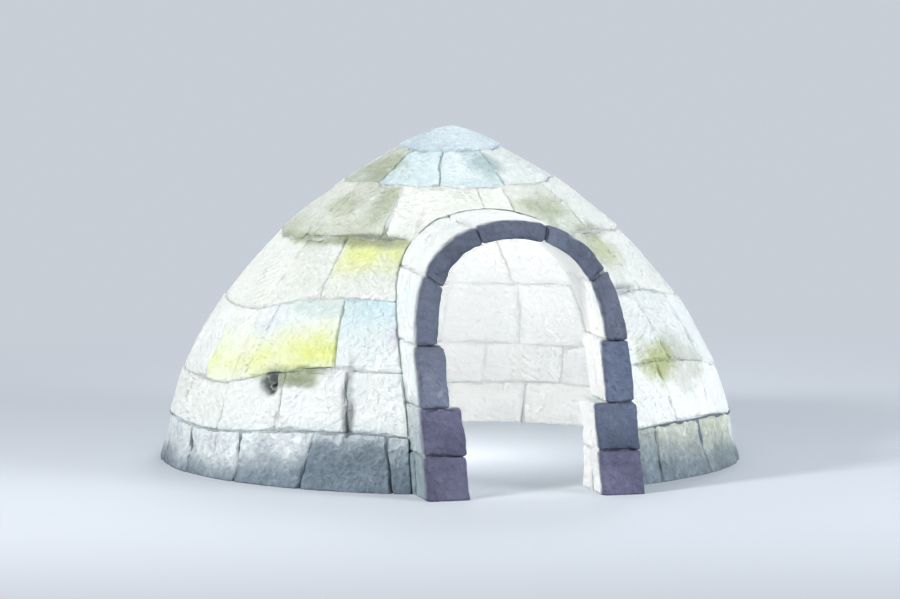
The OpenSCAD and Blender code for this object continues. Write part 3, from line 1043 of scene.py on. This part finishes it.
# Painted light on the portal foot's sides, dimmer than higher up
FOOT_FLANK = linear(0.64, 0.71, 0.73)
PORTAL_GLOW = 0.1
PORTAL_SEED = 8000
ON_FOOT, ON_JAMB, ON_ARCH = range(3)

# Stones of the ring from the ground up: node, kind, ends, where its front row ends, and the
# front's painted shade on the left and right hand. Ends are heights, or angles round the springing.
RING = [
    ("foot", ON_FOOT, 0, 0.44, 0.55, FRONT_SHADE_VIOLET, FRONT_SHADE_VIOLET),
    ("foot", ON_FOOT, 0.44, jamb_foot_h, 0.42, FRONT_SHADE_VIOLET, FRONT_SHADE_BLUE),
    ("jamb", ON_JAMB, jamb_foot_h, SPRINGING_H, 0.56, FRONT_SHADE_DUSK, FRONT_SHADE_BLUE),
    ("haunch", ON_ARCH, 0, ARCH_BLOCK, 0.42, FRONT_SHADE_DARK, FRONT_SHADE_DUSK),
    ("shoulder", ON_ARCH, ARCH_BLOCK, 2 * ARCH_BLOCK, 0.52, FRONT_SHADE_DARK, FRONT_SHADE_DARK),
    ("crown", ON_ARCH, 2 * ARCH_BLOCK, 180 - 2 * ARCH_BLOCK, 0.45, FRONT_SHADE_DARK, FRONT_SHADE_DARK),
]
INNER_STEPS = {ON_FOOT: JAMB_FOOT_STEP, ON_JAMB: JAMB_STEP}

# How much one stone differs from the next: aside, backwards, in shade, in how deep its face lies
STONE_ASIDE = 0.010
STONE_BACK = 0.012
STONE_SHADE = 0.10
STONE_RECESS = 0.003


def portal_place(hand, kind, low, high, front=0.0, back=1.0, aside=0.0, set_back=0.0):
    """Maps shares along the ring, across it and into it to places. A stone may stand a little
    aside, away from the doorway, and a little behind the ring's face."""

    def place(u, v, w):
        along = mix(low, high, u)
        if kind == ON_ARCH:
            angle = np.radians(along)
            inner = ray_reach(angle, DOOR_W, DOOR_H, DOOR_POWER)
            outer = ray_reach(angle, portal_w, portal_h, PORTAL_POWER)
            reach = mix(inner, outer, v) + aside
            x = reach * np.cos(angle)
            z = SPRINGING_H + reach * np.sin(angle)
        else:
            z = along
            x = mix(DOOR_W / 2 - INNER_STEPS[kind], portal_half(z), v) + aside
        front_y = portal_front_y + z * math.tan(PORTAL_LEAN) + set_back
        y = mix(front_y, portal_back_y(x, z), mix(front, back, w))
        return np.stack([hand * x, y, z], -1)

    return place


def paint_portal(points, share, out, tint, glow, extra):
    """Tints and glow of the portal's snow: a face painted in shade, and sides painted lit where the
    lamp shines through, brighter higher up.
    """
    face_y = portal_front_y + points[:, 2] * math.tan(PORTAL_LEAN)
    behind = (points[:, 1] - face_y) * math.cos(PORTAL_LEAN)
    ragged = noise(points, 6, 81) + 0.6 * noise(points, 17, 82)
    inward = clamp(-1.5 * out[:, 1])
    shine = clamp((behind - 0.05 + 0.03 * ragged) / mix(0.16, 0.09, inward))
    up = clamp(points[:, 2] / 0.9 - 0.35 + 0.15 * ragged)
    sides = mix(mix(FOOT_FLANK, SNOW["third"], up[:, None]), INSIDE_SNOW, inward[:, None])
    glows = mix(mix(0.1, 1.0, up), REVEAL_GLOW, inward)
    return mix(tint, sides, shine[:, None]), mix(glow, glows, shine)


def build_portal(part, hand):
    """The blocks of one part of the ring, in two rows from front to back, and the snow between."""
    node = "portal_crown" if part == "crown" else f"portal_{part}_{HANDS[hand]}"
    shell = Shell(False, flip=hand == LEFT)
    stones = [stone for stone in RING if stone[0] == part]
    for stone in stones:
        _, kind, low, high, parting, left_shade, right_shade = stone
        # The front's colour is painted shade
        tint = left_shade if hand == LEFT else right_shade
        for row, (front, back) in enumerate([(0, parting), (parting, 1)]):
            seed = PORTAL_SEED + 100 * RING.index(stone) + 40 * (hand == RIGHT) + 10 * row
            aside = STONE_ASIDE * math.sin(1.7 * seed)
            set_back = STONE_BACK * (1 + math.sin(3.1 * seed)) if row == 0 else 0
            lifted = kind != ON_FOOT or low > 0
            shell.add_block(
                portal_place(hand, kind, low, high, front, back, aside, set_back), seed,
                tint * (1 + STONE_SHADE * math.sin(4.3 * seed)), PORTAL_GLOW,
                soft=[lifted] + [True] * 5,
                gaps=[GAP * lifted, GAP, 0, 0, GAP * row, GAP * (1 - row)],
                recess=0.005 + STONE_RECESS * (1 + math.sin(2.9 * seed)),
                steps=[STEP, STEP, STONE_STEP])
    kind, low, high = stones[0][1], stones[0][2], stones[-1][3]
    deep = PORTAL_CORE_DEPTH
    depths = [0, deep if part == "foot" else 0, deep, deep, 2 * deep, deep]
    # The packed snow's front is painted in shade too
    shell.add_core(portal_place(hand, kind, low, high), PORTAL_SEED + 900, FRONT_SHADE_DARK, PORTAL_GLOW, depths)
    shell.finish(node, "portal_snow")


for part in ("foot", "jamb", "haunch", "shoulder"):
    for hand in HANDS:
        build_portal(part, hand)
build_portal("crown", RIGHT)

# Floor, background, lamps and camera

# The floor turns into the plain background between these distances from the middle
BACKGROUND = (0.58, 0.62, 0.68, 1.0)
FLOOR_REACH = 400.0
FADE_FROM = 5.0
FADE_TO = 14.0

# Soft light from all round, and lamps: name, place, target, power, size and colour
SOFT_COLOUR = (0.93, 0.97, 1.0, 1.0)
SOFT_STRENGTH = 0.40
LAMPS = [
    ("key", (-15, -7, 12), (0, 0, 1.2), 2630, 3.5, (1.0, 0.985, 0.965)),
    ("fill", (13, -13, 8), (0, 0, 1.2), 2350, 7, (0.96, 0.98, 1.0)),
    ("back", (6, 13, 14), (0, 0, 1.6), 1100, 6, (0.97, 0.99, 1.0)),
    ("room", (0, axis_y, 1.5), None, 75, 0.25, (1.0, 0.98, 0.97)),
]

# The camera looks at this share of the dome's height, from very far away
LOOK_SHARE = 0.47
CAMERA_AZIMUTH = math.radians(-15.0)
CAMERA_ELEVATION = math.radians(6.5)
CAMERA_DISTANCE = 80.0
FIELD_WIDTH = 9.8
SENSOR_WIDTH = 36.0


def floor_material():
    """A plain pale floor that keeps the igloo's shadow and fades into the background far away."""
    material = bpy.data.materials.new("floor")
    tree = empty_tree(material)
    place = add_node(tree, "ShaderNodeTexCoord")
    away = add_node(tree, "ShaderNodeVectorMath", [(place, "Object", 0)], operation="LENGTH")
    far = add_range(tree, away, "Value", FADE_FROM, FADE_TO)
    far.interpolation_type = "SMOOTHSTEP"
    floor = add_node(tree, "ShaderNodeBsdfDiffuse", Color=BACKGROUND)
    plain = add_node(tree, "ShaderNodeEmission", Color=BACKGROUND)
    both = add_node(tree, "ShaderNodeMixShader", [(far, 0, 0), (floor, 0, 1), (plain, 0, 2)])
    add_node(tree, "ShaderNodeOutputMaterial", [(both, 0, 0)])
    return material


floor_mesh = bpy.data.meshes.new("floor")
corners = [(FLOOR_REACH * x, FLOOR_REACH * y, 0) for x, y in [(-1, -1), (1, -1), (1, 1), (-1, 1)]]
floor_mesh.from_pydata(corners, [], [(0, 1, 2, 3)])
floor_mesh.materials.append(floor_material())
floor = add_object("floor", floor_mesh)

# The world lights the igloo softly, and the camera sees it as the plain background
world = bpy.data.worlds.new("studio")
bpy.context.scene.world = world
tree = empty_tree(world)
path = add_node(tree, "ShaderNodeLightPath")
soft_light = add_node(tree, "ShaderNodeBackground", Color=SOFT_COLOUR, Strength=SOFT_STRENGTH)
seen = add_node(tree, "ShaderNodeBackground", Color=BACKGROUND, Strength=1.0)
both = add_node(tree, "ShaderNodeMixShader",
                [(path, "Is Camera Ray", 0), (soft_light, 0, 1), (seen, 0, 2)])
add_node(tree, "ShaderNodeOutputWorld", [(both, 0, 0)])


def turn_towards(thing, way):
    """Turns a lamp or a camera so that it looks along a way."""
    thing.rotation_euler = way.to_track_quat("-Z", "Y").to_euler()


def add_lamp(name, place, target, power, size, colour):
    """A round lamp that points at its target, or one that shines all round if it has none."""
    light = bpy.data.lights.new(name, "AREA" if target else "POINT")
    lamp = add_object(name, light)
    lamp.location = place
    if target:
        light.shape = "DISK"
        light.size = size
        turn_towards(lamp, Vector(target) - Vector(place))
    else:
        light.shadow_soft_size = size
    light.energy = power
    light.color = colour


for lamp in LAMPS:
    add_lamp(*lamp)

camera = bpy.data.cameras.new("camera")
camera.sensor_width = SENSOR_WIDTH
camera.lens = SENSOR_WIDTH * CAMERA_DISTANCE / FIELD_WIDTH
camera.clip_end = 1000.0
camera_object = add_object("camera", camera)
back = Vector((
    math.sin(CAMERA_AZIMUTH) * math.cos(CAMERA_ELEVATION),
    -math.cos(CAMERA_AZIMUTH) * math.cos(CAMERA_ELEVATION),
    math.sin(CAMERA_ELEVATION)))
camera_object.location = Vector((0, axis_y, dome_h * LOOK_SHARE)) + back * CAMERA_DISTANCE
turn_towards(camera_object, -back)
bpy.context.scene.camera = camera_object
bpy.context.scene.view_settings.view_transform = "Standard"
